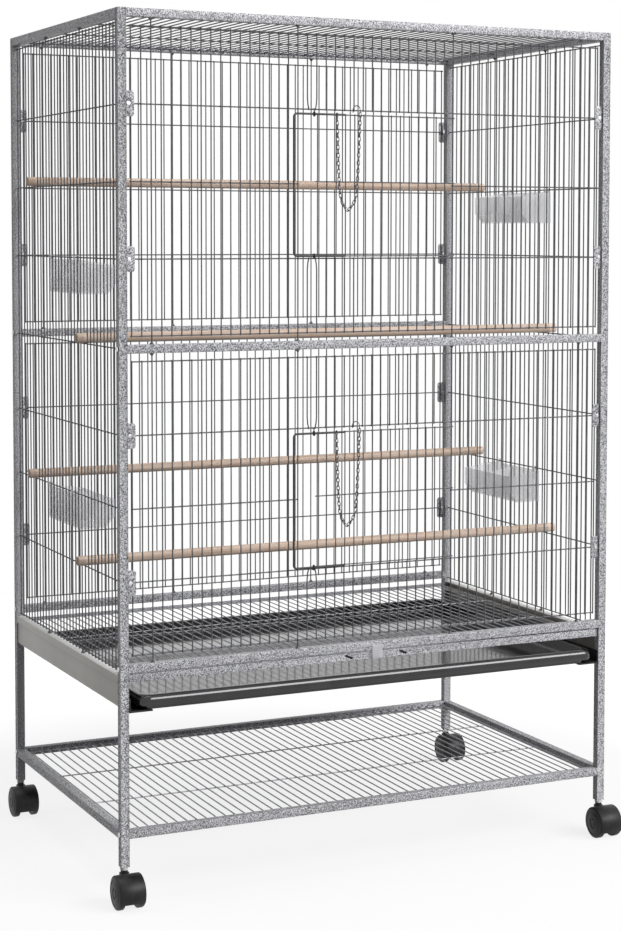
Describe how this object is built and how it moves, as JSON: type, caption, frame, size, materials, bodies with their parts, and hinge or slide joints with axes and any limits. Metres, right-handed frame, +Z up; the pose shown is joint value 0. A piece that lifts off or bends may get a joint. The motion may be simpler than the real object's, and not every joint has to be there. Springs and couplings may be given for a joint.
{
  "type": "flight bird cage",
  "caption": "Tall wire flight cage for birds on a wheeled stand, with hinged front doors, sliding rod latches, pull-out tray, perches and cups.",
  "frame": {"origin": "on the floor, under the middle of the whole object's box", "axes": "+Z up, +X along the width to the right seen from the front, the doors face -Y"},
  "size_m": [0.8182, 0.542, 1.234],
  "materials": {
    "silver_paint": "satin",
    "sheet_metal": "satin",
    "black_plastic": "gloss",
    "caster_plastic": "satin",
    "clear_plastic": "gloss",
    "wood": "matte",
    "bolt_steel": "satin",
    "chain_steel": "satin",
    "white_plastic": "satin"
  },
  "bodies": {
    "frame": {"front_left_post": "silver_paint", "front_right_post": "silver_paint", "back_left_post": "silver_paint", "back_right_post": "silver_paint", "post_collars": "white_plastic", "top_front_rail": "silver_paint", "top_back_rail": "silver_paint", "top_left_rail": "silver_paint", "top_right_rail": "silver_paint", "top_grille": "silver_paint", "mid_front_rail": "silver_paint", "mid_back_rail": "silver_paint", "bottom_front_rail": "silver_paint", "bottom_back_rail": "silver_paint", "front_upper_panel": "silver_paint", "front_lower_panel": "silver_paint", "back_upper_panel": "silver_paint", "back_lower_panel": "silver_paint", "left_panel": "silver_paint", "right_panel": "silver_paint", "corner_plates": "silver_paint", "plate_bolts": "bolt_steel", "rail_bolts": "bolt_steel", "left_apron": "sheet_metal", "right_apron": "sheet_metal", "left_runner": "black_plastic", "right_runner": "black_plastic", "shelf_front_rail": "silver_paint", "shelf_back_rail": "silver_paint", "shelf_left_rail": "silver_paint", "shelf_right_rail": "silver_paint", "shelf_grille": "silver_paint", "latch_guides": "silver_paint", "upper_chain": "chain_steel", "lower_chain": "chain_steel", "high_perch": "wood", "middle_perch": "wood", "low_back_perch": "wood", "low_front_perch": "wood"},
    "upper_door": {"upper_door": "silver_paint"},
    "lower_door": {"lower_door": "silver_paint"},
    "upper_latch": {"upper_latch": "silver_paint"},
    "lower_latch": {"lower_latch": "silver_paint"},
    "tray": {"tray": "black_plastic"},
    "floor_grille": {"floor_grille": "silver_paint", "grille_clip": "clear_plastic"},
    "left_upper_cup": {"left_upper_cup": "clear_plastic"},
    "left_lower_cup": {"left_lower_cup": "clear_plastic"},
    "right_upper_cup": {"right_upper_cup": "clear_plastic"},
    "right_lower_cup": {"right_lower_cup": "clear_plastic"},
    "front_left_caster": {"front_left_caster": "caster_plastic"},
    "front_left_wheels": {"front_left_wheels": "caster_plastic"},
    "front_right_caster": {"front_right_caster": "caster_plastic"},
    "front_right_wheels": {"front_right_wheels": "caster_plastic"},
    "back_left_caster": {"back_left_caster": "caster_plastic"},
    "back_left_wheels": {"back_left_wheels": "caster_plastic"},
    "back_right_caster": {"back_right_caster": "caster_plastic"},
    "back_right_wheels": {"back_right_wheels": "caster_plastic"}
  },
  "joints": [
    {"name": "upper_door_hinge", "type": "hinge", "parent": "frame", "child": "upper_door", "pos_m": [0.12452, -0.2315, 0.9995], "axis": [0, 0, 1], "range_deg": [0, 150]},
    {"name": "lower_door_hinge", "type": "hinge", "parent": "frame", "child": "lower_door", "pos_m": [0.12452, -0.2315, 0.5505], "axis": [0, 0, 1], "range_deg": [0, 150]},
    {"name": "upper_latch_slide", "type": "slide", "parent": "frame", "child": "upper_latch", "axis": [-1, 0, 0], "range_m": [0, 0.045], "deforming": ["upper_chain"]},
    {"name": "lower_latch_slide", "type": "slide", "parent": "frame", "child": "lower_latch", "axis": [-1, 0, 0], "range_m": [0, 0.045], "deforming": ["lower_chain"]},
    {"name": "tray_slide", "type": "slide", "parent": "frame", "child": "tray", "axis": [0, -1, 0], "range_m": [0, 0.4]},
    {"name": "grille_slide", "type": "slide", "parent": "frame", "child": "floor_grille", "axis": [0, 1, 0], "range_m": [-0.4, 0]},
    {"name": "left_upper_cup_lift", "type": "slide", "parent": "frame", "child": "left_upper_cup", "axis": [0, 0, 1], "range_m": [0, 0.03]},
    {"name": "left_lower_cup_lift", "type": "slide", "parent": "frame", "child": "left_lower_cup", "axis": [0, 0, 1], "range_m": [0, 0.03]},
    {"name": "right_upper_cup_lift", "type": "slide", "parent": "frame", "child": "right_upper_cup", "axis": [0, 0, 1], "range_m": [0, 0.03]},
    {"name": "right_lower_cup_lift", "type": "slide", "parent": "frame", "child": "right_lower_cup", "axis": [0, 0, 1], "range_m": [0, 0.03]},
    {"name": "front_left_swivel", "type": "hinge", "parent": "frame", "child": "front_left_caster", "pos_m": [-0.3875, -0.2315, 0.05], "axis": [0, 0, 1], "continuous": true},
    {"name": "front_left_roll", "type": "hinge", "parent": "front_left_caster", "child": "front_left_wheels", "pos_m": [-0.3875, -0.2475, 0.023], "axis": [1, 0, 0], "continuous": true},
    {"name": "front_right_swivel", "type": "hinge", "parent": "frame", "child": "front_right_caster", "pos_m": [0.3875, -0.2315, 0.05], "axis": [0, 0, 1], "continuous": true},
    {"name": "front_right_roll", "type": "hinge", "parent": "front_right_caster", "child": "front_right_wheels", "pos_m": [0.3875, -0.2475, 0.023], "axis": [1, 0, 0], "continuous": true},
    {"name": "back_left_swivel", "type": "hinge", "parent": "frame", "child": "back_left_caster", "pos_m": [-0.3875, 0.2645, 0.05], "axis": [0, 0, 1], "continuous": true},
    {"name": "back_left_roll", "type": "hinge", "parent": "back_left_caster", "child": "back_left_wheels", "pos_m": [-0.3875, 0.2485, 0.023], "axis": [1, 0, 0], "continuous": true},
    {"name": "back_right_swivel", "type": "hinge", "parent": "frame", "child": "back_right_caster", "pos_m": [0.3875, 0.2645, 0.05], "axis": [0, 0, 1], "continuous": true},
    {"name": "back_right_roll", "type": "hinge", "parent": "back_right_caster", "child": "back_right_wheels", "pos_m": [0.3875, 0.2485, 0.023], "axis": [1, 0, 0], "continuous": true}
  ]
}
